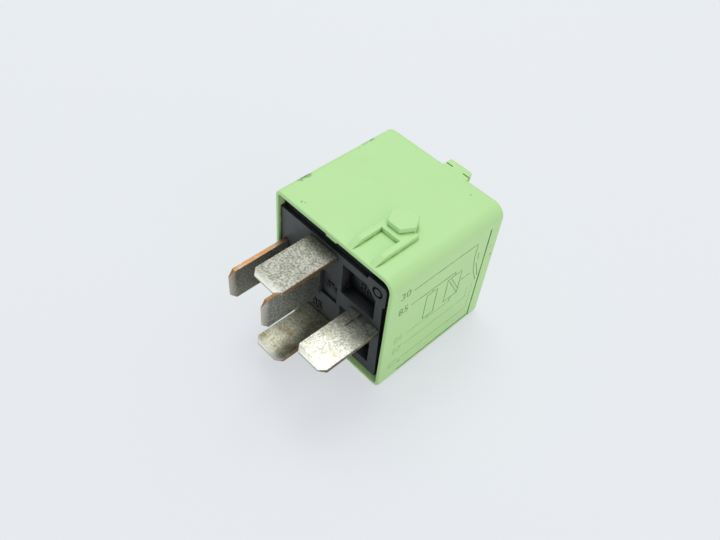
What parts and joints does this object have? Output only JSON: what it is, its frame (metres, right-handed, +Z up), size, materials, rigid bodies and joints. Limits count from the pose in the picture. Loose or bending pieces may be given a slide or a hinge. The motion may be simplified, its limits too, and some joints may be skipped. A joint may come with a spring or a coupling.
{
  "type": "automotive relay",
  "caption": "Plug-in changeover relay: a square moulded cap over a coil, hinged armature and contacts, with flat blades out of its base plate.",
  "frame": {"origin": "middle of the side face that it rests on, halfway along the cap's length", "axes": "+Z up from the resting side to the face with the latch pad, +X towards the face with the circuit drawing, -Y the way the blades point"},
  "size_m": [0.026, 0.0384, 0.0278],
  "materials": {
    "cap_plastic": "pale green moulded plastic, satin",
    "plate_plastic": "dark grey moulded plastic, matt",
    "tinned_blade": "tin-plated brass strip with bare punched edges",
    "magnet_iron": "zinc-plated soft iron",
    "bobbin_plastic": "black glass-filled nylon",
    "enamelled_wire": "copper wire with amber enamel",
    "spring_bronze": "rolled bronze strip",
    "steel_rivet": "plated steel",
    "contact_silver": "silver alloy on copper",
    "resistor_coat": "lacquered ceramic",
    "tinned_wire": "tinned copper wire"
  },
  "bodies": {
    "housing": {"cap": "cap_plastic", "base_plate": "plate_plastic", "blade_30": "tinned_blade", "blade_85": "tinned_blade", "blade_86": "tinned_blade", "blade_87": "tinned_blade", "blade_87a": "tinned_blade", "yoke": "magnet_iron", "core": "magnet_iron", "bobbin": "bobbin_plastic", "winding": "enamelled_wire", "winding_ends": "enamelled_wire", "yoke_rivets": "steel_rivet", "working_contact": "contact_silver", "rest_contact": "contact_silver", "resistor": "resistor_coat", "resistor_wires": "tinned_wire"},
    "armature_group": {"armature": "magnet_iron", "contact_spring": "spring_bronze", "armature_rivets": "steel_rivet", "moving_contact": "contact_silver"}
  },
  "joints": [
    {"name": "armature_pivot", "type": "hinge", "parent": "housing", "child": "armature_group", "pos_m": [0.0103, 0.00697, 0.013], "axis": [0, 0, 1], "range_deg": [0, 2.9], "stiffness_Nm_per_rad": 0.1, "springref_deg": -8.59, "deforming": ["contact_spring"]}
  ]
}
